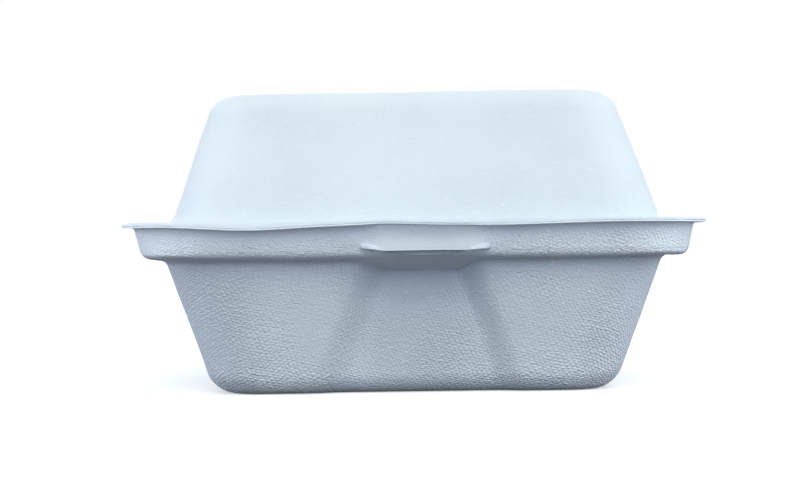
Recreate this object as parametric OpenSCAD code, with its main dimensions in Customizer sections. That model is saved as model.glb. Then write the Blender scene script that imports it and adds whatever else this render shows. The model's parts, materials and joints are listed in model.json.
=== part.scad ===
// Burger box pressed from sugar-cane pulp: a square tray and the lid that folds over it.
// Both are one sheet in the real box, and part here at the fold behind, where the lid turns.
// The tray's collar bulges into a latch pocket at the front, and the lid's tongue drops into it.
// Millimetres, +Z up, the front towards -Y, the origin under the middle of the tray.

/* [Sheet and rim] */
// Thickness of the pressed sheet
sheet = 0.5; // [0.4:0.05:0.6]
// Side of the square rim, from flange edge to flange edge
rim_side = 155; // [145:1:175]
// Corner radius of the rim
rim_corner_r = 28; // [24:1:34]

/* [Tray] */
// Height of the tray, from the table to the top of its flange
tray_h = 45; // [38:1:60]
// How far the tray's flange stands out past its collar
flange_w = 3.5; // [3:0.1:5]
// Radius between the flange and the collar
flange_fillet_r = 1.2; // [0.8:0.1:1.5]
// Height of the collar
collar_h = 8.3; // [8.1:0.1:9.5]
// How far the collar leans in over its height
collar_lean = 2.5; // [1.5:0.1:3.2]
// Radius under the collar
collar_fillet_r = 2; // [1.2:0.1:2.2]
// Width of the ledge under the collar
ledge_w = 5.6; // [4.8:0.1:8]
// How far the ledge falls towards the wall
ledge_drop = 1.3; // [0.8:0.1:2.5]
// Radius between the ledge and the wall
ledge_fillet_r = 1.3; // [0.8:0.1:2]
// Corner radius of the wall at its top
wall_corner_r = 16; // [13:1:20]
// Side of the floor, where the lines of the walls meet it
floor_side = 107; // [100:1:115]
// Corner radius of the wall at the floor
floor_corner_r = 13; // [11:1:16]
// Radius between the wall and the floor
floor_edge_r = 8; // [5:0.5:10]

/* [Finger recess] */
// Width of the recess's panel under the ledge
recess_top_w = 10.4; // [8:0.1:16]
// Width of the recess's panel at the floor
recess_floor_w = 37.4; // [30:0.1:40]
// Width of each side face of the recess
recess_side_w = 13.5; // [9:0.5:14]
// How far the ledge hangs down over the recess
recess_sag = 2.2; // [0.6:0.1:3]
// Depth of the recess under the ledge
recess_top_deep = 5.5; // [3:0.1:6]
// Depth of the recess at the floor
recess_floor_deep = 3; // [1.5:0.1:4]

/* [Latch] */
// Width of the pocket's flat face and of the slit under it
latch_w = 22; // [20:0.5:28]
// Width over which each side of the pocket fades into the collar
latch_blend_w = 6.5; // [5:0.1:8]
// How far the pocket's face lies behind the flange edge at its top
latch_face_in = 0.6; // [0.5:0.1:1]
// How far the pocket's face curves in from its top down to its lip
latch_lean = 1.6; // [0.8:0.1:1.8]
// Depth of the pocket's lip below the top of the tray's flange
lip_depth = 6.5; // [5.8:0.1:6.5]
// Height over which the lip's ends come out of the collar
lip_flare_h = 1.5; // [1.2:0.1:2]
// Width of the tongue
tongue_w = 21; // [14:0.5:21]
// How far the tongue reaches below the top of the tray's flange
tongue_reach = 7.8; // [6:0.1:8]
// Radius of the tongue's lower corners
tongue_corner_r = 5; // [2:0.5:5]
// Gap between the tongue and the pocket's inner face
tongue_gap = 0.6; // [0.4:0.05:0.8]

/* [Lid] */
// Height of the lid above the tray's flange
lid_h = 35; // [28:1:45]
// Side of the lid at the foot of its walls
lid_foot_side = 129.4; // [124:0.1:132]
// Corner radius of the lid at the foot of its walls
lid_foot_corner_r = 17; // [14:1:20]
// Radius at the foot of the lid's walls
lid_foot_fillet_r = 1.5; // [1:0.1:2]
// Side of the lid's top, where the lines of the walls meet it
lid_top_side = 106; // [98:1:112]
// Corner radius of the lid at its top
lid_top_corner_r = 14; // [12:1:18]
// Radius between the lid's walls and its top
lid_edge_r = 8.5; // [5:0.5:10]

/* [Hidden] */

pulp_colour = [0.90, 0.96, 0.98];
half = sheet / 2;
rim = rim_side / 2;

// Steps round a corner, a small radius, the collar's foot, a large radius and the tongue's corners
corner_steps = 8;
small_steps = 2;
foot_steps = 3;
edge_steps = 6;
tongue_steps = 4;

// Corners of the tray's section: half widths, and heights from the rim
root = rim - flange_w;
collar_foot = root - collar_lean;
wall_top = collar_foot - ledge_w;
wall_top_z = -collar_h - ledge_drop;
floor_half = floor_side / 2;
floor_z = half - tray_h;

// The latch: its pocket's face and lip, and the tongue's outer face, as half widths
lip_z = -lip_depth;
pocket_face = rim - latch_face_in - half;
lip_face = pocket_face - latch_lean;
tongue_face = lip_face - half - tongue_gap;
pocket_root_share = 0.15;
lip_fade_power = 1.6;

// Corners of the lid's section
lid_foot = lid_foot_side / 2 - half;
lid_top = lid_top_side / 2;
lid_top_z = lid_h - half;

// Places across the front: 0 to 1 is the flat face of latch and recess, 1 to 2 their fading sides
half_places = [0.5, 1, 1.25, 1.5, 1.75, 2];
last_place = len(half_places) - 1;
front_places = concat([for (k = [last_place:-1:0]) -half_places[k]], [0], half_places);

function unit(v) = v / norm(v);
function mix(a, b, t) = a + (b - a) * t;
function clamp(t) = max(0, min(1, t));
function smooth(t) = let (c = clamp(t)) c * c * (3 - 2 * c);

// Points of the arc of radius r that rounds the corner b between a and c
function rounded(a, b, c, r, steps) =
    let (
        u = unit(a - b),
        v = unit(c - b),
        turn = acos(u * v) / 2,
        mid = b + unit(u + v) * r / sin(turn),
        from = b + u * r / tan(turn) - mid,
        to = b + v * r / tan(turn) - mid,
        start = atan2(from[1], from[0]),
        sweep = (atan2(to[1], to[0]) - start + 540) % 360 - 180
    )
    [for (k = [0:steps]) let (w = start + sweep * k / steps) mid + r * [cos(w), sin(w)]];

// Rows of a section whose corners are [[half width, height], radius, steps]; radius 0 is one point
function section(c) = [
    for (k = [0:len(c) - 1])
        each c[k][1] == 0 ? [c[k][0]] : rounded(c[k - 1][0], c[k][0], c[k + 1][0], c[k][1], c[k][2])
];

function on_collar(z) = [mix([root, 0], [collar_foot, -collar_h], -z / collar_h), 0];
function on_wall(t) = [mix([wall_top, wall_top_z], [floor_half, floor_z], t), 0];
function on_lid_wall(t) = [mix([lid_foot, half], [lid_top, lid_top_z], t), 0];

// Shares of the walls' heights that take a row of their own
tray_wall_shares = [0.3, 0.55];
lid_wall_share = 0.4;
flare_z = lip_z + lip_flare_h;
tray_rows = section([
    [[rim, -half], 0],
    [[root, -half], flange_fillet_r, small_steps],
    on_collar(mix(-half - flange_fillet_r, flare_z, 0.5)),
    on_collar(flare_z),
    on_collar(lip_z),
    [[collar_foot, -collar_h], collar_fillet_r, foot_steps],
    [[wall_top, wall_top_z], ledge_fillet_r, small_steps],
    on_wall(tray_wall_shares[0]),
    on_wall(tray_wall_shares[1]),
    [[floor_half, floor_z], floor_edge_r, edge_steps],
    [[floor_half - floor_edge_r, floor_z], 0]
]);
lid_rows = section([
    [[rim, half], 0],
    [[lid_foot, half], lid_foot_fillet_r, small_steps],
    on_lid_wall(lid_wall_share),
    [[lid_top, lid_top_z], lid_edge_r, edge_steps],
    [[lid_top - lid_edge_r, lid_top_z], 0]
]);

// The slit runs from the lip's row down to the last row of the radius under the collar
lip_row = small_steps + 4;
slit_end_row = lip_row + foot_steps + 1;

// Corner radius of a section at each half width
tray_corners = [
    [floor_half - floor_corner_r + 1, 1],
    [floor_half, floor_corner_r],
    [wall_top, wall_corner_r],
    [rim, rim_corner_r]
];
lid_corners = [
    [lid_top - lid_top_corner_r + 1, 1],
    [lid_top, lid_top_corner_r],
    [lid_foot, lid_foot_corner_r],
    [rim, rim_corner_r]
];

// Shares of the way across the ledge and down the wall
function across_ledge(w) = clamp((collar_foot - w) / ledge_w);
function down_wall(z) = clamp((wall_top_z - z) / (wall_top_z - floor_z));

// Places become millimetres: the latch's face and its fading side, or the recess's panel and side face
function front_x(place, face, side) =
    let (a = abs(place))
    sign(place) * (min(a, 1) * face + max(a - 1, 0) * side);
function panel_w(z) = mix(recess_top_w, recess_floor_w, down_wall(z));
function tray_front_x(p, place) =
    let (share = across_ledge(p[0]))
    front_x(place, mix(latch_w, panel_w(p[1]), share) / 2, mix(latch_blend_w, recess_side_w, share));
function fade(place) = 1 - smooth(abs(place) - 1);

// Half width of the front at a row of the collar, with the pocket and its lip
function pocket_half(p, row, place) =
    let (
        curve = 1 - pow(1 - clamp(p[1] / lip_z), 2),
        face = pocket_face + pocket_root_share * (p[0] - root) * (1 - curve) - latch_lean * curve,
        lip_fade = 1 - pow(clamp(abs(place) - 1), lip_fade_power)
    )
    row == lip_row ? mix(p[0], lip_face, lip_fade) : mix(p[0], face, fade(place));

// Half width and height of the front from the ledge down, with the finger recess
function recess_half(p, place) =
    p[0] - mix(recess_top_deep, recess_floor_deep, down_wall(p[1])) * across_ledge(p[0]) * fade(place);
function recess_z(p, place) =
    p[1] - recess_sag * (1 - down_wall(p[1])) * across_ledge(p[0]) * fade(place);

function tray_front_half(p, row, place) =
    row == 0 ? p[0] : row <= lip_row ? pocket_half(p, row, place) : recess_half(p, place);

// The four corners of one row, from the front right round to the front left
function corners(p, r) = [
    for (quarter = [-1:2], k = [0:corner_steps])
        let (
            w = quarter * 90 + k * 90 / corner_steps,
            side_x = quarter < 1 ? 1 : -1,
            side_y = abs(quarter - 0.5) < 1 ? 1 : -1
        )
        [side_x * (p[0] - r) + r * cos(w), side_y * (p[0] - r) + r * sin(w), p[1]]
];
tray_grid = [
    for (row = [0:len(tray_rows) - 1])
        let (p = tray_rows[row])
        concat(
            corners(p, lookup(p[0], tray_corners)),
            [for (s = front_places) [tray_front_x(p, s), -tray_front_half(p, row, s), recess_z(p, s)]]
        )
];
lid_grid = [
    for (row = [0:len(lid_rows) - 1])
        let (p = lid_rows[row])
        concat(
            corners(p, lookup(p[0], lid_corners)),
            [for (s = front_places) [front_x(s, latch_w / 2, latch_blend_w), -p[0], p[1]]]
        )
];

// First and last column of the slit
first_front = 4 * (corner_steps + 1);
slit_from = first_front + last_place - 1;
slit_to = first_front + last_place + 3;
tray_slit = [lip_row, slit_end_row, slit_from, slit_to];

// A sheet of even thickness about a grid of rows, closed at its last row, with one slit left open
module pressed(grid, slit = [0, 0, 0, 0]) {
    rows = len(grid);
    cols = len(grid[0]);
    last = rows - 1;
    function wrap(j) = (j + cols) % cols;
    function at(i, j) = grid[max(0, min(last, i))][wrap(j)];
    function facing(i, j) = unit(cross(at(i + 1, j) - at(i - 1, j), at(i, j + 1) - at(i, j - 1)));
    function solid(i, j) =
        i >= 0 && i < last &&
        !(i >= slit[0] && i < slit[1] && wrap(j) >= slit[2] && wrap(j) < slit[3]);
    side = rows * cols;
    function a(i, j) = i * cols + wrap(j);
    function b(i, j) = side + a(i, j);
    function edge(i, j, k, l) = [
        [a(k, l), a(i, j), b(i, j)],
        [a(k, l), b(i, j), b(k, l)]
    ];
    middle_z = grid[last][0][2];
    facing_z = facing(last, 0)[2];
    points = concat(
        [for (i = [0:last], j = [0:cols - 1]) at(i, j) + facing(i, j) * half],
        [for (i = [0:last], j = [0:cols - 1]) at(i, j) - facing(i, j) * half],
        [[0, 0, middle_z + facing_z * half], [0, 0, middle_z - facing_z * half]]
    );
    faces = concat(
        [
            for (i = [0:last - 1], j = [0:cols - 1])
                if (solid(i, j))
                    each concat(
                        [[a(i, j), a(i, j + 1), a(i + 1, j + 1)], [a(i, j), a(i + 1, j + 1), a(i + 1, j)]],
                        [[b(i, j), b(i + 1, j + 1), b(i, j + 1)], [b(i, j), b(i + 1, j), b(i + 1, j + 1)]],
                        solid(i - 1, j) ? [] : edge(i, j, i, j + 1),
                        solid(i, j + 1) ? [] : edge(i, j + 1, i + 1, j + 1),
                        solid(i + 1, j) || i + 1 == last ? [] : edge(i + 1, j + 1, i + 1, j),
                        solid(i, j - 1) ? [] : edge(i + 1, j, i, j)
                    )
        ],
        [for (j = [0:cols - 1]) [a(last, j), a(last, j + 1), 2 * side]],
        [for (j = [0:cols - 1]) [b(last, j + 1), b(last, j), 2 * side + 1]]
    );
    polyhedron(points, faces);
}

// A plate with rounded lower corners, hanging from the flange down into the pocket
module tongue() {
    width = tongue_w / 2;
    low = -tongue_reach;
    outline = concat(
        [[-width, half]],
        rounded([-width, half], [-width, low], [width, low], tongue_corner_r, tongue_steps),
        rounded([-width, low], [width, low], [width, half], tongue_corner_r, tongue_steps),
        [[width, half]]
    );
    translate([0, sheet - tongue_face, 0])
        rotate([90, 0, 0])
            linear_extrude(sheet)
                polygon(outline);
}

module tray() {
    color(pulp_colour)
        translate([0, 0, tray_h])
            pressed(tray_grid, tray_slit);
}

module lid() {
    color(pulp_colour)
        translate([0, 0, tray_h])
            union() {
                pressed(lid_grid);
                tongue();
            }
}

tray();
lid();
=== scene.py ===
import bpy
import json
import math
import numpy as np
from mathutils import Matrix, Vector, noise


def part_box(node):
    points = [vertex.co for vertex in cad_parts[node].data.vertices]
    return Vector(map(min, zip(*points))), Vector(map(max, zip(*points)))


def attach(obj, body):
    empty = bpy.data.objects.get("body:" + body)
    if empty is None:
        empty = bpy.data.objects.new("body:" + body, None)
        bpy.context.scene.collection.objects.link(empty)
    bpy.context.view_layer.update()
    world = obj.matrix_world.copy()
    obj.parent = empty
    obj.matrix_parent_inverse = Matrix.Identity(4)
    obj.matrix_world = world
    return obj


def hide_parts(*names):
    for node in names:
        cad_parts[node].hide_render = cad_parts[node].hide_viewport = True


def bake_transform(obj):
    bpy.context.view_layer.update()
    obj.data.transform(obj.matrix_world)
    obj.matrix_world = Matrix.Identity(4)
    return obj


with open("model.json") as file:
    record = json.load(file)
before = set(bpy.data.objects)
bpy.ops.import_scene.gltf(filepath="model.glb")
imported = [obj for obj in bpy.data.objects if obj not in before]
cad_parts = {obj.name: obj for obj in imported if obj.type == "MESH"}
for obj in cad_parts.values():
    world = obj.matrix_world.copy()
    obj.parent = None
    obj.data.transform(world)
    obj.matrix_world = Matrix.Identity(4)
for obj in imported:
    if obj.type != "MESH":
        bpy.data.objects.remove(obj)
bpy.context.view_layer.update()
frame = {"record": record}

mm = 0.001

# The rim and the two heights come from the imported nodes, the rest of the form is set below
trayLow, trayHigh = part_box("tray")
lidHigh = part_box("lid")[1]
rimHalf = (trayHigh[0] - trayLow[0]) / 2 / mm
rimZ = trayHigh[2] / mm
lidRise = lidHigh[2] / mm - rimZ
hingePlace = frame["record"]["behaviour"]["joints"][0]["pos_m"]

sheet = {
    "thickness": 0.5, "droop": 0.08, "droopWidth": 5.0, "bevel": 0.35, "edgeRough": 0.09, "lump": 0.10,
    "lumpSize": 17.0, "sharpAngle": 48,
}


# Section and ring helpers, in millimetres

def smoothStep(t):
    t = np.clip(t, 0, 1)
    return t * t * (3 - 2 * t)


# Rises softly from 0 at start to 1 a width further on
def ramp(x, start, width):
    return smoothStep((x - start) / width)


def mixed(a, b, t):
    return a + (b - a) * t


def bump(x, middle, width):
    return np.exp(-((x - middle) / width) ** 2)


# A section is a list of corners (half width, height, radius), rounded and walked by its own length
def roundedPath(corners, arcSteps=14):
    points = [np.array(corners[0][:2], float)]
    for before, here, after in zip(corners, corners[1:], corners[2:]):
        a, b, c = (np.array(p[:2], float) for p in (before, here, after))
        radius = here[2]
        if radius == 0:
            points.append(b)
            continue
        u, v = (a - b) / np.linalg.norm(a - b), (c - b) / np.linalg.norm(c - b)
        half = math.acos(float(u @ v)) / 2
        middle = b + (u + v) / np.linalg.norm(u + v) * radius / math.sin(half)
        start, end = b + u * radius / math.tan(half) - middle, b + v * radius / math.tan(half) - middle
        first = math.atan2(start[1], start[0])
        sweep = (math.atan2(end[1], end[0]) - first + 3 * math.pi) % (2 * math.pi) - math.pi
        for k in range(arcSteps + 1):
            angle = first + sweep * k / arcSteps
            points.append(middle + radius * np.array([math.cos(angle), math.sin(angle)]))
    points.append(np.array(corners[-1][:2], float))
    points = np.array(points)
    length = np.concatenate([[0], np.cumsum(np.linalg.norm(np.diff(points, axis=0), axis=1))])
    return length, points


def onPath(path, s):
    length, points = path
    return np.interp(s, length, points[:, 0]), np.interp(s, length, points[:, 1])


# Row stations: the named ones stay, and each stretch between them is filled at its own spacing
def fillStations(stretches):
    stations = []
    for (start, end), spacing in stretches:
        count = max(1, round((end - start) / spacing))
        stations += [start + (end - start) * k / count for k in range(count)]
    return np.array(stations + [stretches[-1][0][1]])


# Columns run once round the ring from the middle of the back: left, front, right, back
def ringColumns(front, cornerSteps, sideSteps):
    cx, cy, turn, place = [], [], [], []

    def add(x, y, angle, at=np.nan):
        cx.append(x)
        cy.append(y)
        turn.append(angle)
        place.append(at)

    def side(x, y, angle, steps, fromT, toT):
        for k in range(1, steps):
            t = fromT + (toT - fromT) * k / steps
            add(t if x is None else x, t if y is None else y, angle)

    def corner(x, y, angle):
        for k in range(cornerSteps + 1):
            add(x, y, angle + 90 * k / cornerSteps)

    add(0, 1, 90)
    side(None, 1, 90, sideSteps // 2, 0, -1)
    corner(-1, 1, 90)
    side(-1, None, 180, sideSteps, 1, -1)
    corner(-1, -1, 180)
    for at in front:
        add(0, -1, 270, at)
    corner(1, -1, 270)
    side(1, None, 0, sideSteps, -1, 1)
    corner(1, 1, 0)
    side(None, 1, 90, sideSteps // 2, 1, 0)
    turn = np.radians(turn)
    return {"cx": np.array(cx), "cy": np.array(cy), "cos": np.cos(turn), "sin": np.sin(turn),
            "place": np.array(place)}


# One ring of half width w and corner radius r, before the front's own forms
def ringPoints(columns, w, r):
    straight = w - r
    return columns["cx"] * straight + r * columns["cos"], columns["cy"] * straight + r * columns["sin"]


frontSplit = {"flat": 22, "fade": 18, "plain": 14, "corner": 16, "side": 44}  # columns in each stretch
flatPlaces = np.linspace(0, 1, frontSplit["flat"] + 1)
fadePlaces = np.linspace(1, 2, frontSplit["fade"] + 1)[1:]
plainPlaces = np.linspace(2, 3, frontSplit["plain"] + 1)[1:-1]
rightPlaces = np.concatenate([flatPlaces, fadePlaces, plainPlaces])
frontPlaces = np.concatenate([-rightPlaces[:0:-1], rightPlaces])
columns = ringColumns(frontPlaces, frontSplit["corner"], frontSplit["side"])
isFront = ~np.isnan(columns["place"])
place = columns["place"][isFront]
away = np.abs(place)


# Columns' places 0 to 2 follow the latch and the recess, and 2 to 3 run out to the corner
def frontX(faceHalf, sideWidth, straight):
    inner = np.minimum(away, 1) * faceHalf + np.clip(away - 1, 0, 1) * sideWidth
    outer = np.clip(away - 2, 0, 1) * (straight - faceHalf - sideWidth)
    return np.sign(place) * (inner + outer)


# The flanges' wave, as the photo shows it along the front, and gentler at the sides: place, width, height
wave = {
    "nearEdge": 58, "blend": 14, "levelFrom": 20, "levelOver": 40,
    "front": [(-43, 13, -0.85), (-8, 10, 0.5), (22, 9, -0.12), (52, 17, 0.42), (-66, 8, 0.1)],
    "left": [(-20, 18, 0.35), (24, 20, -0.3)],
    "right": [(-30, 16, -0.3), (14, 22, 0.35)],
}


def waveSum(at, bumps):
    return sum(high * bump(at, middle, width) for middle, width, high in bumps)


def flangeWave(x, y):
    onFront, onLeft, onRight = (ramp(side, wave["nearEdge"], wave["blend"]) for side in (-y, -x, x))
    out = np.maximum(np.abs(x), np.abs(y))
    droop = sheet["droop"] * ramp(out, rimHalf - sheet["droopWidth"], sheet["droopWidth"])
    droop = droop * (1 - ramp(y, wave["levelFrom"], wave["levelOver"]))  # the back stays level for the fold
    sides = waveSum(y, wave["left"]) * onLeft + waveSum(y, wave["right"]) * onRight
    return waveSum(x, wave["front"]) * onFront + sides * (1 - onFront) - droop


def normalsOf(points):
    down = np.empty_like(points)
    down[1:-1] = points[2:] - points[:-2]
    down[0], down[-1] = points[1] - points[0], points[-1] - points[-2]
    across = np.roll(points, -1, axis=1) - np.roll(points, 1, axis=1)
    n = np.cross(down, across)
    return n / np.maximum(np.linalg.norm(n, axis=2, keepdims=True), 1e-9)


# Slow lumps of the pressed pulp, with a share of smaller ones
def lumps(points, size, seed, share=0.4, finer=2.7):
    flat = points.reshape(-1, 3)
    slow = np.array([noise.noise(Vector(p) / size + Vector((seed, 0, 0))) for p in flat])
    small = np.array([noise.noise(Vector(p) / size * finer + Vector((0, seed, 0))) for p in flat])
    return (slow + share * small).reshape(points.shape[:2])


# Makes a piece from points in millimetres, with its flat map and its painted values per point
def finishedPiece(name, vertices, faces, maps, painted, sharpAngle):
    mesh = bpy.data.meshes.new(name)
    mesh.from_pydata([tuple(v) for v in np.array(vertices) * mm], [], [tuple(f) for f in faces])
    layer = mesh.uv_layers.new(name="sheetMap")
    layer.data.foreach_set("uv", (np.array(maps) * mm).ravel())
    for key, values in painted.items():
        attribute = mesh.attributes.new(key, "FLOAT", "POINT")
        attribute.data.foreach_set("value", values)
    mesh.polygons.foreach_set("use_smooth", [True] * len(mesh.polygons))
    mesh.set_sharp_from_angle(angle=math.radians(sharpAngle))
    mesh.validate()
    piece = bpy.data.objects.new(name, mesh)
    bpy.context.collection.objects.link(piece)
    return piece


# Thickens a grid of points into a closed sheet. outer is the side away from the food.
def pressedSheet(name, grid, painted, missing, outerSign):
    rows, cols = grid.shape[:2]
    normal = normalsOf(grid)
    half = sheet["thickness"] / 2
    outer = grid + normal * half * outerSign
    inner = grid - normal * half * outerSign
    upper = inner if outerSign > 0 else outer
    inward = grid[1] - grid[0]
    upper[0] += inward / np.linalg.norm(inward, axis=1, keepdims=True) * sheet["bevel"]
    middle = grid[-1].mean(axis=0)
    centres = [middle + [0, 0, normal[-1, 0, 2] * half * outerSign * s] for s in (1, -1)]
    vertices = np.concatenate([outer.reshape(-1, 3), inner.reshape(-1, 3), centres])
    offset = rows * cols

    steps = np.linalg.norm(np.diff(np.concatenate([grid, grid[:, :1]], axis=1), axis=1), axis=2)
    along = np.concatenate([np.zeros((rows, 1)), np.cumsum(steps, axis=1)], axis=1)
    frontMiddle = int(np.nonzero(isFront)[0][len(place) // 2])
    along -= along[:, frontMiddle:frontMiddle + 1]
    downSteps = np.linalg.norm(np.diff(grid[:, frontMiddle // 2], axis=0), axis=1)
    depth = np.concatenate([[0], np.cumsum(downSteps)])

    def kept(i, j):
        return 0 <= i < rows - 1 and not missing[i, j % cols]

    faces, maps = [], []

    def addFace(corners, side, flip):
        ids = [i * cols + j % cols + side * offset for i, j in corners]
        uv = [(along[i, j], depth[i]) for i, j in corners]
        if flip:
            ids, uv = ids[::-1], uv[::-1]
        faces.append(ids)
        maps.extend(uv)

    def addEdge(p, q):
        ids = [p[0] * cols + p[1] % cols, q[0] * cols + q[1] % cols]
        ids = [ids[0], ids[1], ids[1] + offset, ids[0] + offset]
        uv = [(along[p], depth[p[0]]), (along[q], depth[q[0]])]
        uv = [uv[0], uv[1], uv[1], uv[0]]
        if outerSign < 0:
            ids, uv = ids[::-1], uv[::-1]
        faces.append(ids)
        maps.extend(uv)

    for i in range(rows - 1):
        for j in range(cols):
            if not kept(i, j):
                continue
            quad = [(i, j), (i + 1, j), (i + 1, j + 1), (i, j + 1)]
            addFace(quad, 0, outerSign < 0)
            addFace(quad, 1, outerSign > 0)
            if not kept(i - 1, j):
                addEdge((i, j), (i, j + 1))
            if not kept(i, j + 1):
                addEdge((i, j + 1), (i + 1, j + 1))
            if not kept(i + 1, j) and i + 1 < rows - 1:
                addEdge((i + 1, j + 1), (i + 1, j))
            if not kept(i, j - 1):
                addEdge((i + 1, j), (i, j))
    last = (rows - 1) * cols
    for j in range(cols):
        pair = [last + j, last + (j + 1) % cols]
        uv = [(along[-1, j], depth[-1]), (along[-1, j + 1], depth[-1]), (0, depth[-1] + 1)]
        top = [pair[0], 2 * offset, pair[1]]
        under = [pair[0] + offset, pair[1] + offset, 2 * offset + 1]
        for ids, order in ((top, (0, 2, 1)), (under, (0, 1, 2))):
            if outerSign < 0:
                ids, order = ids[::-1], order[::-1]
            faces.append(ids)
            maps.extend(uv[k] for k in order)

    values = {key: np.concatenate([out.ravel(), food.ravel(), [out[-1, 0], food[-1, 0]]])
              for key, (out, food) in painted.items()}
    return finishedPiece(name, vertices, faces, maps, values, sheet["sharpAngle"])


# The tray

trayShape = {
    "flange": 3.5, "flangeFillet": 1.5, "collarHeight": 8.3, "collarLean": 2.5, "collarFillet": 2.8,
    "ledge": 5.85, "ledgeDrop": 0.9, "ledgeFillet": 2.2, "floorHalf": 53.5, "floorFillet": 8.0,
    "rimCorner": 28.0, "rootCorner": 24.4, "footCorner": 17.0, "wallCorner": 16.0, "floorCorner": 13.0,
    "footTilt": 0.55, "lumpGain": 2.4, "edgeLump": 1.3, "waveReach": 9.0, "floorRings": 26, "floorHub": 0.06,
}
latch = {
    "faceHalf": 11.0, "fadeWidth": 5.8, "faceIn": 0.5, "lean": 1.8, "lipOut": 0.2, "lipDepth": 6.5,
    "flare": 1.8, "flareEase": 1.6, "lipEnds": 4.5, "lipTilt": 0.012, "liftLeft": 0.75, "liftRight": 0.3,
    "liftFrom": 0.75, "liftOver": 1.1, "slitShare": 0.9, "slitDrop": 0.6, "slitHigh": 0.3, "slitRound": 0.7,
    "middleX": 1.85,
}
recess = {
    "topHalf": 8.5, "floorHalf": 20.2, "topSide": 8.0, "floorSide": 9.6, "leftWider": 0.1, "sag": 3.0,
    "topDeep": 5.2, "floorDeep": 3.0, "coveDeep": 3.8, "coveHigh": 4.6, "middleX": 1.4,
}

# How deep the screen's print is, by height and place
trayPrint = {
    "least": 0.25, "foot": 0.35, "footDown": 7.0, "footWidth": 1.6, "floor": 0.6, "floorWidth": 4,
    "left": 0.85, "right": 0.25, "rightFrom": 24, "rightOver": 12, "offPocket": 0.95, "inside": 0.3,
}
# Painted light and shade in the pulp's colour: the collar left pale, painted light at the floor's edge and
# the front's right end, painted shade on the walls, under the ledge, at the corners, in the recess and on
# the latch's hood
trayPaintedShading = {
    "wall": 0.36, "ledge": 0.7, "ledgeWidth": 1.1, "floorEdge": -0.3, "floorWidth": 4, "corner": 0.3,
    "cornerFrom": 34, "rightEnd": -0.26, "rightFrom": 32, "hood": 0.75, "panel": 0.22,
    "panelTop": 0.8, "panelHigh": 6, "panelWidth": 20, "inside": 0.15,
}


def lengthAt(path, w, z):
    fine = np.linspace(0, path[0][-1], 6000)
    fw, fz = onPath(path, fine)
    return fine[np.argmin((fw - w) ** 2 + (fz - z) ** 2)]


# Closes a sheet's middle by rings that shrink to a hub
def closedRings(grid, z, hub, count):
    rings = [grid[-1] * [f, f, 1] for f in np.linspace(1, hub, count)[1:]]
    return np.concatenate([grid, np.array(rings)]), np.concatenate([z, np.full(len(rings), z[-1])])


# The flange's edge runs unevenly in and out, by a tenth of a millimetre
def roughEdge(grid, size, seed):
    edge = lumps(grid[:1] * [1, 1, 0], size, seed) * sheet["edgeRough"]
    grid[0, :, :2] *= 1 + edge[0][:, None] / rimHalf


# The tray's section from the rim to the floor, with its levels and its rows
def traySection():
    t, half = trayShape, sheet["thickness"] / 2
    root = rimHalf - t["flange"]
    foot = root - t["collarLean"]
    wallTop, wallTopZ = foot - t["ledge"], -t["collarHeight"] - t["ledgeDrop"]
    floorZ, lipZ = half - rimZ, -latch["lipDepth"]
    path = roundedPath([
        (rimHalf, -half, 0), (root, -half, t["flangeFillet"]), (foot, -t["collarHeight"], t["collarFillet"]),
        (wallTop, wallTopZ, t["ledgeFillet"]), (t["floorHalf"], floorZ, t["floorFillet"]),
        (t["floorHalf"] - t["floorFillet"], floorZ, 0)])

    def collarAt(z):
        return lengthAt(path, root + z / t["collarHeight"] * t["collarLean"], z)

    filletStart = lengthAt(path, root + t["flangeFillet"], -half)
    filletEnd = collarAt(-half - t["flangeFillet"])
    flareS, lipS, underS = (collarAt(lipZ + up) for up in (latch["flare"], 0, -latch["slitHigh"]))
    footS = lengthAt(path, foot, -t["collarHeight"])
    ledgeS = lengthAt(path, wallTop, wallTopZ)
    floorStart = lengthAt(path, t["floorHalf"] + 2, floorZ + t["floorFillet"] * 0.7)
    stations = fillStations([  # each stretch and the spacing of its rows
        ((0, filletStart), 0.7), ((filletStart, filletEnd), 0.35), ((filletEnd, flareS), 0.5),
        ((flareS, lipS), 0.25), ((lipS, underS), 1), ((underS, footS - 1), 0.45),
        ((footS - 1, footS + 1), 0.3), ((footS + 1, ledgeS - 1), 0.6), ((ledgeS - 1, ledgeS + 1.5), 0.35),
        ((ledgeS + 1.5, floorStart), 1.0), ((floorStart, path[0][-1]), 0.8)])
    return {"path": path, "stations": stations, "lipRow": int(np.argmin(abs(stations - lipS))), "root": root,
            "foot": foot, "wallTop": wallTop, "wallTopZ": wallTopZ, "floorZ": floorZ, "lipZ": lipZ,
            "underS": underS, "ledgeS": ledgeS}


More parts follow.
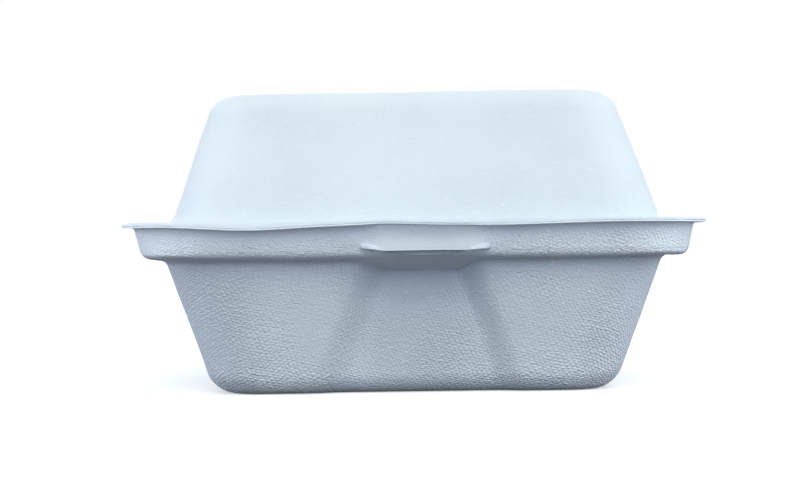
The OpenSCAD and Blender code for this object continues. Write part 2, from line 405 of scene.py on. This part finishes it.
def makeTray():
    t, section = trayShape, traySection()
    stations, lipRow, foot = section["stations"], section["lipRow"], section["foot"]
    lipZ, wallTopZ, floorZ = section["lipZ"], section["wallTopZ"], section["floorZ"]
    w, z = onPath(section["path"], stations)
    floorHub = t["floorHalf"] - t["floorCorner"] + 1
    widths = [floorHub, t["floorHalf"], section["wallTop"], foot, section["root"], rimHalf]
    corners = [1] + [t[key + "Corner"] for key in ("floor", "wall", "foot", "root", "rim")]
    radius = np.interp(w, widths, corners)
    rows, cols = len(stations), len(isFront)
    grid = np.zeros((rows, cols, 3))
    lens = np.clip(1 - (place / latch["slitShare"]) ** 2, 0, 1) ** latch["slitRound"]
    fade = 1 - smoothStep(away - 1)
    lift = np.where(place < 0, latch["liftLeft"], latch["liftRight"])
    lift = lift * ramp(away, latch["liftFrom"], latch["liftOver"]) * (1 - ramp(away, 2, 0.2))

    # above the slit the collar bulges out to the latch's face and flares to its lip
    def pocketRow(i, fx, fw, fz):
        half = sheet["thickness"] / 2
        deepShare = np.clip((-z[i] - half) / (latch["lipDepth"] - half), 0, 1)
        edgeShare = np.clip((rimHalf - w[i]) / t["flange"], 0, 1)
        face = rimHalf - latch["faceIn"] * edgeShare - latch["lean"] * (1 - (1 - deepShare) ** 2)
        lipFade = 1 - np.clip(away - 1, 0, 1) ** latch["lipEnds"]
        fw = fw + (face - fw) * fade
        nearLip = ramp(-z[i], -lipZ - latch["flare"], latch["flare"])
        lipW = rimHalf - latch["faceIn"] - latch["lean"] + latch["lipOut"]
        fw = np.maximum(fw, w[i] + (lipW - w[i]) * lipFade * nearLip ** latch["flareEase"])
        return fw, fz + (latch["lipTilt"] * np.where(away <= 2, fx, 0) + lift) * nearLip

    # below it the ledge and the wall sink into the finger recess, with a cove at its top
    def recessRow(i, down, fw, fz):
        acrossLedge = smoothStep((foot - fw) / t["ledge"])
        cove = recess["coveDeep"] * math.exp(-max(wallTopZ - z[i], 0) / recess["coveHigh"])
        deep = mixed(recess["topDeep"], recess["floorDeep"], down) + cove
        sag = recess["sag"] * (1 - down) ** 2
        fz = fz + lift * math.exp((z[i] - lipZ) / 0.8)
        return fw - deep * acrossLedge * fade, fz - sag * acrossLedge * fade

    for i in range(rows):
        x, y = ringPoints(columns, w[i], radius[i])
        level = np.full(cols, z[i])
        down = np.clip((wallTopZ - z[i]) / (wallTopZ - floorZ), 0, 1)
        share = np.clip((foot - w[i]) / t["ledge"], 0, 1)
        panelHalf = mixed(recess["topHalf"], recess["floorHalf"], down)
        panelSide = mixed(recess["topSide"], recess["floorSide"], down)
        panelSide = panelSide * (1 - recess["leftWider"] * np.sign(place))
        faceHalf = mixed(latch["faceHalf"], panelHalf, share)
        sideWidth = mixed(latch["fadeWidth"], panelSide, share)
        fx = frontX(faceHalf, sideWidth, w[i] - radius[i])
        # below the slit the sheet starts further down the section, by a lens across the front
        slip = latch["slitDrop"] * lens * np.clip(
            (section["ledgeS"] - stations[i]) / (section["ledgeS"] - section["underS"]), 0, 1)
        fw, fz = onPath(section["path"], stations[i] + (slip if i > lipRow else 0 * slip))
        if 0 < i <= lipRow:
            fw, fz = pocketRow(i, fx, fw, fz)
        elif i > lipRow:
            fw, fz = recessRow(i, down, fw, fz)
        x[isFront], y[isFront], level[isFront] = fx, -fw, fz
        x[isFront] += mixed(latch["middleX"], recess["middleX"], share) * (1 - smoothStep(away - 2))
        grid[i] = np.stack([x, y, level], axis=1)

    grid, z = closedRings(grid, z, t["floorHub"], t["floorRings"])
    fall = 1 - smoothStep(-z / t["waveReach"])
    grid[:, :, 2] += fall[:, None] * flangeWave(grid[:, :, 0], grid[:, :, 1])
    atFoot = ramp(-z, 2.5, 4) * (1 - ramp(-z, t["collarHeight"] + 0.1, 0.7))
    grid[:, :, 2] -= atFoot[:, None] * t["footTilt"] * (grid[:, :, 0] / rimHalf + 1) / 2
    onWall = ramp(-z, 1.5, 4) * ramp(z, floorZ, 5)
    push = lumps(grid, sheet["lumpSize"], 3.1) * sheet["lump"] * t["lumpGain"] * onWall[:, None]
    grid += normalsOf(grid) * push[:, :, None]
    roughEdge(grid, t["edgeLump"], 8.7)

    missing = np.zeros((len(grid) - 1, cols), bool)
    inSlit = away <= latch["slitShare"]
    missing[lipRow, np.nonzero(isFront)[0][:-1]] = inSlit[:-1] & inSlit[1:]

    printed, toneAndPaintedShade = trayPaint(grid, z, lipZ, wallTopZ, floorZ)
    piece = pressedSheet("tray_pulp", grid, {
        "screenPrint": (printed, np.full_like(printed, trayPrint["inside"])),
        "pulpToneAndPaintedShade": (toneAndPaintedShade, np.full_like(toneAndPaintedShade, trayPaintedShading["inside"]))}, missing, 1)
    print("tray sheet:", len(piece.data.vertices), "vertices")
    return piece


# The print and the painted light and shade of every point, from its row's height and its place
def trayPaint(grid, z, lipZ, wallTopZ, floorZ):
    x, y = grid[:, :, 0], grid[:, :, 1]
    p, t = trayPrint, trayPaintedShading
    frontFade = np.zeros(len(isFront))
    frontFade[isFront] = 1 - ramp(away, 0.95, 0.75)
    onPocket = (z > lipZ - latch["slitHigh"])[:, None] * frontFade[None, :]
    rows = mixed(p["least"], 1, ramp(-z, 1, 3)) + p["foot"] * bump(-z, p["footDown"], p["footWidth"])
    rows = rows + p["floor"] * bump(z, floorZ + 2, p["floorWidth"])
    places = p["left"] + p["right"] * ramp(x, p["rightFrom"], p["rightOver"]) * (y < 0)
    printed = rows[:, None] * places * (1 - p["offPocket"] * onPocket)

    lowWall = ramp(-z, 10, 3)[:, None]
    # painted shade: the walls below the collar darker than the collar, darkest just under the ledge
    rows = t["wall"] * ramp(-z, 7.2, 1.6) + t["ledge"] * bump(z, wallTopZ + 0.3, t["ledgeWidth"])
    # painted light at the floor's edge
    rows = rows + t["floorEdge"] * bump(z, floorZ + 1, t["floorWidth"])
    # painted shade in the finger recess, strongest at its top under the ledge
    middle = bump(x, recess["middleX"], t["panelWidth"]) * (y < 0)
    panelTop = t["panelTop"] * bump(z, wallTopZ - 2, t["panelHigh"])[:, None]
    # painted shade at the wall's corners, and painted light at the front's right end
    corner = t["corner"] * ramp(np.minimum(np.abs(x), np.abs(y)), t["cornerFrom"], 16)
    rightEnd = t["rightEnd"] * ramp(x, t["rightFrom"], 14) * (y < -40)
    toneAndPaintedShade = rows[:, None] + middle * (t["panel"] * lowWall + panelTop) + (corner + rightEnd) * lowWall
    # painted shade on the latch's hood, darkest at its top under the flange
    hood = t["hood"] * onPocket * ramp(z, lipZ + 0.8, 4.5)[:, None]
    return printed, np.clip(toneAndPaintedShade + hood, 0, 1)


# The lid

lidShape = {
    "footHalf": 64.7, "footFillet": 1.5, "topHalf": 53.0, "edge": 7.0, "rimCorner": 28.0,
    "footCorner": 17.0, "topCorner": 14.0, "topTilt": 0.0066, "tiltFrom": 0.8, "topShift": -0.4,
    "shift": 0.7, "lumpGain": 1.5, "lumpStretch": 1.3, "edgeLump": 1.2, "waveReach": 12.0, "topRings": 30,
    "topHub": 0.06, "topReach": 11,
}
lidCrease = {"x": 6.0, "z": 5.0, "width": 1.6, "height": 3.5, "depth": 0.22}  # at the front wall's foot
lidPaint = {"print": 0.3, "insidePrint": 0.35, "toneAndPaintedShade": 0.38, "lowTone": 0.18, "insideTone": 0.15}


def makeLid():
    t, half = lidShape, sheet["thickness"] / 2
    topZ = lidRise - half
    path = roundedPath([
        (rimHalf, half, 0), (t["footHalf"], half, t["footFillet"]), (t["topHalf"], topZ, t["edge"]),
        (t["topHalf"] - t["edge"], topZ, 0)])
    length = path[0][-1]
    footS = rimHalf - t["footHalf"]
    wallS = length - t["topReach"]
    stations = fillStations([
        ((0, footS - 1.5), 1.0), ((footS - 1.5, footS + 1.5), 0.3), ((footS + 1.5, wallS), 0.9),
        ((wallS, length), 0.6)])
    w, z = onPath(path, stations)
    radius = np.interp(w, [t["topHalf"] - t["topCorner"] + 1, t["topHalf"], t["footHalf"], rimHalf],
                       [1, t["topCorner"], t["footCorner"], t["rimCorner"]])
    rows, cols = len(stations), len(isFront)
    grid = np.zeros((rows, cols, 3))
    for i in range(rows):
        x, y = ringPoints(columns, w[i], radius[i])
        x[isFront] = frontX(latch["faceHalf"], latch["fadeWidth"], w[i] - radius[i])
        grid[i] = np.stack([x, y, np.full(cols, z[i])], axis=1)

    grid, z = closedRings(grid, z, t["topHub"], t["topRings"])
    rise = np.clip(z / topZ, 0, 1)
    fall = 1 - smoothStep(z / t["waveReach"])
    grid[:, :, 2] += fall[:, None] * flangeWave(grid[:, :, 0], grid[:, :, 1])
    lean = t["topTilt"] * (grid[:, :, 0] - t["topHalf"] * t["tiltFrom"])
    grid[:, :, 2] += (rise[:, None] ** 1.2) * lean
    grid[:, :, 0] += smoothStep(z[:, None] / 3) * t["shift"] + rise[:, None] * t["topShift"]
    onWall = smoothStep(z / 4)
    push = lumps(grid, sheet["lumpSize"] * t["lumpStretch"], 5.4) * onWall[:, None]
    push = push * sheet["lump"] * t["lumpGain"]
    c = lidCrease
    crease = bump(grid[:, :, 0], c["x"], c["width"]) * bump(grid[:, :, 2], c["z"], c["height"])
    crease = c["depth"] * crease * (grid[:, :, 1] < -50)
    grid -= normalsOf(grid) * (push + crease)[:, :, None]
    roughEdge(grid, t["edgeLump"], 2.2)

    missing = np.zeros((len(grid) - 1, cols), bool)
    flat = np.ones(grid.shape[:2])
    toneAndPaintedShade = flat * (lidPaint["toneAndPaintedShade"] + lidPaint["lowTone"] * bump(z, 3, 9))[:, None]
    piece = pressedSheet("lid_pulp", grid, {
        "screenPrint": (flat * lidPaint["print"], flat * lidPaint["insidePrint"]),
        "pulpToneAndPaintedShade": (toneAndPaintedShade, flat * lidPaint["insideTone"])}, missing, -1)
    print("lid sheet:", len(piece.data.vertices), "vertices")
    return piece


# A thin plate from two grids of points, side by side in one list, closed round its rim
def thinPlate(name, vertices, across, down, painted, sharpAngle):
    width = across + 1
    count = width * (down + 1)
    faces = []
    for k in range(down):
        for j in range(across):
            a = k * width + j
            quad = [a, a + width, a + width + 1, a + 1]
            faces += [quad, [count + q for q in quad[::-1]]]
    rim = list(range(width))
    rim += [k * width + across for k in range(1, down + 1)]
    rim += [down * width + j for j in range(across - 1, -1, -1)]
    rim += [k * width for k in range(down - 1, 0, -1)]
    faces += [[p, q, count + q, count + p] for p, q in zip(rim, rim[1:] + rim[:1])]
    maps = [(vertices[q][0], vertices[q][2]) for face in faces for q in face]
    values = {key: [value] * len(vertices) for key, value in painted.items()}
    return finishedPiece(name, vertices, faces, maps, values, sharpAngle)


# The tongue hangs from the lid's flange, with rounded lower corners
# the tongue's tone paints it in shade, darker than the lid, as it lies under the latch's lip
tongue = {
    "half": 12.0, "reach": 8.2, "edge": 6.6, "round": 0.7, "gap": 2.0, "root": 0.45, "across": 28,
    "down": 16, "print": 0.1, "toneAndPaintedShade": 0.95, "sharpAngle": 40,
}


def makeTongue():
    t = tongue
    face = rimHalf - latch["faceIn"] - latch["lean"] - sheet["thickness"] / 2 - t["gap"]
    vertices = []
    for y in (-face, sheet["thickness"] - face):
        for k in range(t["down"] + 1):
            for j in range(t["across"] + 1):
                u = 2 * j / t["across"] - 1
                x = u * t["half"] + latch["middleX"]
                top = t["root"] + float(flangeWave(np.array(x), np.array(-rimHalf)))
                low = -t["edge"] - (t["reach"] - t["edge"]) * (1 - u * u) ** t["round"]
                vertices.append((x, y, rimZ + mixed(top, low, k / t["down"])))
    painted = {"screenPrint": t["print"], "pulpToneAndPaintedShade": t["toneAndPaintedShade"]}
    return thinPlate("lid_tongue", vertices, t["across"], t["down"], painted, t["sharpAngle"])


# The fold behind: a strip of the same sheet round the hinge line
fold = {
    "turnFrom": -100, "turnTo": 100, "steps": 18, "across": 60, "innerRadius": 0.06, "rough": 0.03,
    "roughAlong": 0.6, "roughRound": 0.7, "print": 0.2, "toneAndPaintedShade": 0.15, "sharpAngle": 180,
}


def makeFold():
    f = fold
    straight = rimHalf - lidShape["rimCorner"]
    hingeY, hingeZ = hingePlace[1] / mm, hingePlace[2] / mm
    vertices = []
    for radius in (f["innerRadius"], sheet["thickness"]):
        for k in range(f["steps"] + 1):
            turn = math.radians(mixed(f["turnFrom"], f["turnTo"], k / f["steps"]))
            for j in range(f["across"] + 1):
                x = straight * (2 * j / f["across"] - 1)
                rough = noise.noise(Vector((x * f["roughAlong"], k * f["roughRound"], radius)))
                r = radius + f["rough"] * rough
                vertices.append((x, hingeY + r * math.cos(turn), hingeZ + r * math.sin(turn)))
    painted = {"screenPrint": f["print"], "pulpToneAndPaintedShade": f["toneAndPaintedShade"]}
    return thinPlate("hinge_fold", vertices, f["across"], f["steps"], painted, f["sharpAngle"])


# Pulp material: screen print, fibres, cloudy colour and an uneven dull surface

pulp = {
    # painted shade tint: the tray's colour is a little bluer than lidColour, for the bluish light in the
    # tray's shade
    "colour": (0.845, 0.93, 0.98), "lidColour": (0.845, 0.94, 0.94), "shade": (0.57, 0.645, 0.71),
    "fibre": (0.86, 0.95, 0.98), "rough": (0.72, 0.92), "sheen": 0.12, "sheenRough": 0.6, "specular": 0.25,
    "printAlong": 1.4, "printDown": 1.6, "printTilt": -16.0, "rowShare": 0.42, "printDeep": 0.000062,
    "grain": 2.2, "grainScale": (560, 1150, 1), "lidPrint": 0.6,
    "wobbleSize": 260.0, "wobble": (0.0018, 0.0010, 0), "driftSize": 45.0, "drift": (0.006, 0.005, 0),
    "patchSize": 55.0, "patches": (0.55, 1.2), "fibreTurns": (20, 100), "fibreScale": (500, 2600, 1900),
    "fibreDeep": 0.00005, "flecks": 0.5, "cloudSize": 38.0, "clouds": 0.16, "hollow": -0.08,
    "hollowBase": 0.03,
}


def pulpMaterial(name, printGain, colour):
    material = bpy.data.materials.new(name)
    material.use_nodes = True
    nodes, links = material.node_tree.nodes, material.node_tree.links
    nodes.clear()

    def node(kind, **values):
        made = nodes.new(kind)
        for key, value in values.items():
            if key in made.inputs:
                made.inputs[key].default_value = value
            else:
                setattr(made, key, value)
        return made

    def sumOf(operation, *values):
        made = node("ShaderNodeMath", operation=operation)
        for socket, value in zip(made.inputs, values):
            if isinstance(value, (int, float)):
                socket.default_value = value
            else:
                links.new(value, socket)
        return made.outputs[0]

    def noiseOn(vector, **values):
        made = node("ShaderNodeTexNoise", **values)
        links.new(vector, made.inputs["Vector"])
        return made

    # moves a map about by a noise's colour
    def nudged(vector, noiseNode, amount):
        made = node("ShaderNodeVectorMath", operation="MULTIPLY_ADD")
        links.new(noiseNode.outputs["Color"], made.inputs[0])
        made.inputs[1].default_value = amount
        links.new(vector, made.inputs[2])
        return made.outputs[0]

    def ranged(value, low, high, toLow, toHigh):
        made = node("ShaderNodeMapRange", clamp=True)
        links.new(value, made.inputs["Value"])
        limits = {"From Min": low, "From Max": high, "To Min": toLow, "To Max": toHigh}
        for key, limit in limits.items():
            made.inputs[key].default_value = limit
        return made.outputs[0]

    out = node("ShaderNodeOutputMaterial")
    shader = node("ShaderNodeBsdfPrincipled")
    links.new(shader.outputs[0], out.inputs[0])
    shader.inputs["Sheen Weight"].default_value = pulp["sheen"]
    shader.inputs["Sheen Roughness"].default_value = pulp["sheenRough"]
    shader.inputs["Specular IOR Level"].default_value = pulp["specular"]
    solid = node("ShaderNodeTexCoord").outputs["Object"]
    sheetMap = node("ShaderNodeUVMap", uv_map="sheetMap")

    # the wire screen: short dashes in staggered rows that lean a little
    wobble = noiseOn(solid, Scale=pulp["wobbleSize"], Detail=2.0)
    drift = noiseOn(solid, Scale=pulp["driftSize"], Detail=1.0)
    bent = nudged(nudged(sheetMap.outputs[0], wobble, pulp["wobble"]), drift, pulp["drift"])
    lean = node("ShaderNodeVectorRotate", rotation_type="Z_AXIS")
    lean.inputs["Angle"].default_value = math.radians(pulp["printTilt"])
    links.new(bent, lean.inputs["Vector"])
    parts = node("ShaderNodeSeparateXYZ")
    links.new(lean.outputs[0], parts.inputs[0])
    along, down = parts.outputs[0], parts.outputs[1]
    waveU = sumOf("COSINE", sumOf("MULTIPLY", along, 2 * math.pi / (pulp["printAlong"] * mm)))
    waveV = sumOf("COSINE", sumOf("MULTIPLY", down, 2 * math.pi / (pulp["printDown"] * mm)))
    rowWave = sumOf("COSINE", sumOf("MULTIPLY", down, 4 * math.pi / (pulp["printDown"] * mm)))
    rows = sumOf("ADD", sumOf("MULTIPLY", waveU, waveV), sumOf("MULTIPLY", rowWave, pulp["rowShare"]))
    grainPlace = node("ShaderNodeVectorMath", operation="MULTIPLY")
    grainPlace.inputs[1].default_value = pulp["grainScale"]
    links.new(lean.outputs[0], grainPlace.inputs[0])
    grain = noiseOn(grainPlace.outputs[0], Scale=1.0, Detail=2.0)
    grainLow = sumOf("ADD", grain.outputs["Fac"], -0.5)
    dashes = sumOf("ADD", rows, sumOf("MULTIPLY", grainLow, 2 * pulp["grain"]))
    patch = noiseOn(solid, Scale=pulp["patchSize"], Detail=2.0)
    patchy = ranged(patch.outputs["Fac"], 0.35, 0.65, *pulp["patches"])
    depth = node("ShaderNodeAttribute", attribute_name="screenPrint")
    deep = sumOf("MULTIPLY", depth.outputs["Fac"], printGain)
    printed = sumOf("MULTIPLY", sumOf("MULTIPLY", dashes, patchy), deep)

    # fibres: stretched fine noise in two directions
    fibreNodes = []
    for angle in pulp["fibreTurns"]:
        spin = node("ShaderNodeMapping")
        spin.inputs["Rotation"].default_value = [math.radians(angle * share) for share in (0.4, 1, 0.7)]
        spin.inputs["Scale"].default_value = pulp["fibreScale"]
        links.new(solid, spin.inputs["Vector"])
        fibreNodes.append(noiseOn(spin.outputs[0], Scale=1.0, Detail=3.0, Distortion=0.6))
    fibres = sumOf("ADD", *(fibre.outputs["Fac"] for fibre in fibreNodes))

    printBump = node("ShaderNodeBump", Strength=1.0, Distance=pulp["printDeep"])
    links.new(printed, printBump.inputs["Height"])
    fibreBump = node("ShaderNodeBump", Strength=1.0, Distance=pulp["fibreDeep"])
    links.new(fibres, fibreBump.inputs["Height"])
    links.new(printBump.outputs[0], fibreBump.inputs["Normal"])
    links.new(fibreBump.outputs[0], shader.inputs["Normal"])

    # colour: slow clouds, a slightly darker tone in the print's hollows, each point's painted light and
    # shade, pale fibres
    cloud = noiseOn(solid, Scale=pulp["cloudSize"], Detail=4.0, Roughness=0.6).outputs["Fac"]
    hollow = sumOf("MULTIPLY_ADD", printed, pulp["hollow"], pulp["hollowBase"])
    # each point's painted light and shade, added to the clouds in the mix towards the shade colour
    given = node("ShaderNodeAttribute", attribute_name="pulpToneAndPaintedShade")
    clouds = ranged(cloud, 0.3, 0.7, 0.0, pulp["clouds"])
    toneAndPaintedShade = sumOf("ADD", sumOf("ADD", clouds, hollow), given.outputs["Fac"])
    toneAndPaintedShade.node.use_clamp = True
    base = node("ShaderNodeMix", data_type="RGBA")
    base.inputs["A"].default_value = (*colour, 1)
    base.inputs["B"].default_value = (*pulp["shade"], 1)
    links.new(toneAndPaintedShade, base.inputs["Factor"])
    flecked = node("ShaderNodeMix", data_type="RGBA")
    links.new(ranged(fibres, 1.15, 1.45, 0.0, pulp["flecks"]), flecked.inputs["Factor"])
    links.new(base.outputs["Result"], flecked.inputs["A"])
    flecked.inputs["B"].default_value = (*pulp["fibre"], 1)
    links.new(flecked.outputs["Result"], shader.inputs["Base Color"])
    links.new(ranged(cloud, 0.3, 0.7, *pulp["rough"]), shader.inputs["Roughness"])
    return material


trayPulp = pulpMaterial("trayPulp", 1.0, pulp["colour"])
lidPulp = pulpMaterial("lidPulp", pulp["lidPrint"], pulp["lidColour"])


def dress(piece, material):
    piece.data.materials.append(material)


tray = makeTray()
lid = makeLid()
tongueTip = makeTongue()
foldStrip = makeFold()
for piece in (tray, lid):
    for vertex in piece.data.vertices:
        vertex.co.z += rimZ * mm
dress(tray, trayPulp)
dress(lid, lidPulp)
dress(tongueTip, lidPulp)
dress(foldStrip, lidPulp)
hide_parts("tray")
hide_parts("lid")
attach(tray, "tray")
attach(lid, "lid")
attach(tongueTip, "lid")
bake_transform(foldStrip)
print("pieces ride on their bodies")


# Floor, light and camera

floorLook = {
    "size": 3.0, "below": 0.00004, "colour": (0.86, 0.87, 0.88), "glow": 0.45, "rough": 0.9,
    "bounce": (0.16, 0.163, 0.182),
}
lamps = {  # softness, height and turn in degrees, turned from the front
    "key": {"power": 1.58, "colour": (1.0, 0.975, 0.90), "soft": 50, "height": 42, "turn": 6},
    "fill": {"power": 1.18, "colour": (0.73, 0.83, 1.0), "soft": 50, "height": 8, "turn": 0},
    "sideLeft": {"power": 1.85, "colour": (0.84, 0.89, 1.0), "soft": 40, "height": 8, "turn": -96},
    "sideRight": {"power": 1.85, "colour": (0.84, 0.89, 1.0), "soft": 40, "height": 8, "turn": 96},
    "back": {"power": 0.7, "colour": (1.0, 0.98, 0.93), "soft": 50, "height": 34, "turn": 180},
}
sky = {"power": 0.34, "colour": (0.87, 0.91, 1.0)}


# The rays that see white: the camera's own, and those that a gloss or a clear part passes on
def seenRays(nodes, links):
    ray = nodes.new("ShaderNodeLightPath")
    total = ray.outputs["Is Camera Ray"]
    for other in ("Is Glossy Ray", "Is Transmission Ray"):
        added = nodes.new("ShaderNodeMath")
        added.operation, added.use_clamp = "ADD", True
        links.new(total, added.inputs[0])
        links.new(ray.outputs[other], added.inputs[1])
        total = added.outputs[0]
    return total


def makeFloor():
    f = floorLook
    mesh = bpy.data.meshes.new("floor")
    corners = ((-1, -1), (1, -1), (1, 1), (-1, 1))
    mesh.from_pydata([(x * f["size"], y * f["size"], -f["below"]) for x, y in corners], [], [(0, 1, 2, 3)])
    floor = bpy.data.objects.new("floor", mesh)
    bpy.context.collection.objects.link(floor)
    material = bpy.data.materials.new("floorPaint")
    material.use_nodes = True
    nodes, links = material.node_tree.nodes, material.node_tree.links
    shader = nodes["Principled BSDF"]
    shader.inputs["Roughness"].default_value = f["rough"]
    shader.inputs["Specular IOR Level"].default_value = 0.0
    shader.inputs["Emission Color"].default_value = (1, 1, 1, 1)
    rays = seenRays(nodes, links)
    glow = nodes.new("ShaderNodeMath")
    glow.operation = "MULTIPLY"
    glow.inputs[1].default_value = f["glow"]
    links.new(rays, glow.inputs[0])
    links.new(glow.outputs[0], shader.inputs["Emission Strength"])
    # pale to the eye, while the light it sends back up stays low, as in the photo
    seen = nodes.new("ShaderNodeMix")
    seen.data_type = "RGBA"
    seen.inputs["A"].default_value = (*f["bounce"], 1)
    seen.inputs["B"].default_value = (*f["colour"], 1)
    links.new(rays, seen.inputs["Factor"])
    links.new(seen.outputs["Result"], shader.inputs["Base Color"])
    mesh.materials.append(material)


def makeSun(name, power, colour, soft, height, turn):
    data = bpy.data.lights.new(name, "SUN")
    data.energy, data.color, data.angle = power, colour, math.radians(soft)
    lamp = bpy.data.objects.new(name, data)
    high, side = math.radians(height), math.radians(turn)
    toLamp = Vector((math.sin(side) * math.cos(high), -math.cos(side) * math.cos(high), math.sin(high)))
    lamp.rotation_euler = toLamp.to_track_quat("Z", "Y").to_euler()
    bpy.context.collection.objects.link(lamp)


def makeSky():
    world = bpy.data.worlds.new("sky")
    bpy.context.scene.world = world
    world.use_nodes = True
    nodes, links = world.node_tree.nodes, world.node_tree.links
    nodes.clear()
    out = nodes.new("ShaderNodeOutputWorld")
    seen, lit = nodes.new("ShaderNodeBackground"), nodes.new("ShaderNodeBackground")
    seen.inputs["Color"].default_value, seen.inputs["Strength"].default_value = (1, 1, 1, 1), 1
    lit.inputs["Color"].default_value = (*sky["colour"], 1)
    lit.inputs["Strength"].default_value = sky["power"]
    mix = nodes.new("ShaderNodeMixShader")
    links.new(seenRays(nodes, links), mix.inputs[0])
    links.new(lit.outputs[0], mix.inputs[1])
    links.new(seen.outputs[0], mix.inputs[2])
    links.new(mix.outputs[0], out.inputs[0])


makeFloor()
for lampName, lamp in lamps.items():
    makeSun(lampName, **lamp)
makeSky()
print("floor, lamps and sky")

view = {  # millimetres and degrees
    "distance": 700, "turn": -2.05, "height": 45.6, "aimX": -2.3, "drop": 7.8, "roll": 0.69, "lens": 110.35,
    "near": 0.01, "far": 20,
}


def makeCamera():
    data = bpy.data.cameras.new("camera")
    data.lens = view["lens"]
    data.clip_start, data.clip_end = view["near"], view["far"]
    camera = bpy.data.objects.new("camera", data)
    bpy.context.collection.objects.link(camera)
    turn = math.radians(view["turn"])
    at = Vector((view["distance"] * math.sin(turn), -view["distance"] * math.cos(turn), view["height"])) * mm
    target = Vector((view["aimX"], 0, view["height"] - view["drop"])) * mm
    look = (target - at).to_track_quat("-Z", "Y").to_matrix().to_4x4()
    roll = Matrix.Rotation(math.radians(-view["roll"]), 4, "Z")
    camera.matrix_world = Matrix.Translation(at) @ look @ roll
    bpy.context.scene.camera = camera


makeCamera()
bpy.context.scene.view_settings.view_transform = "Standard"
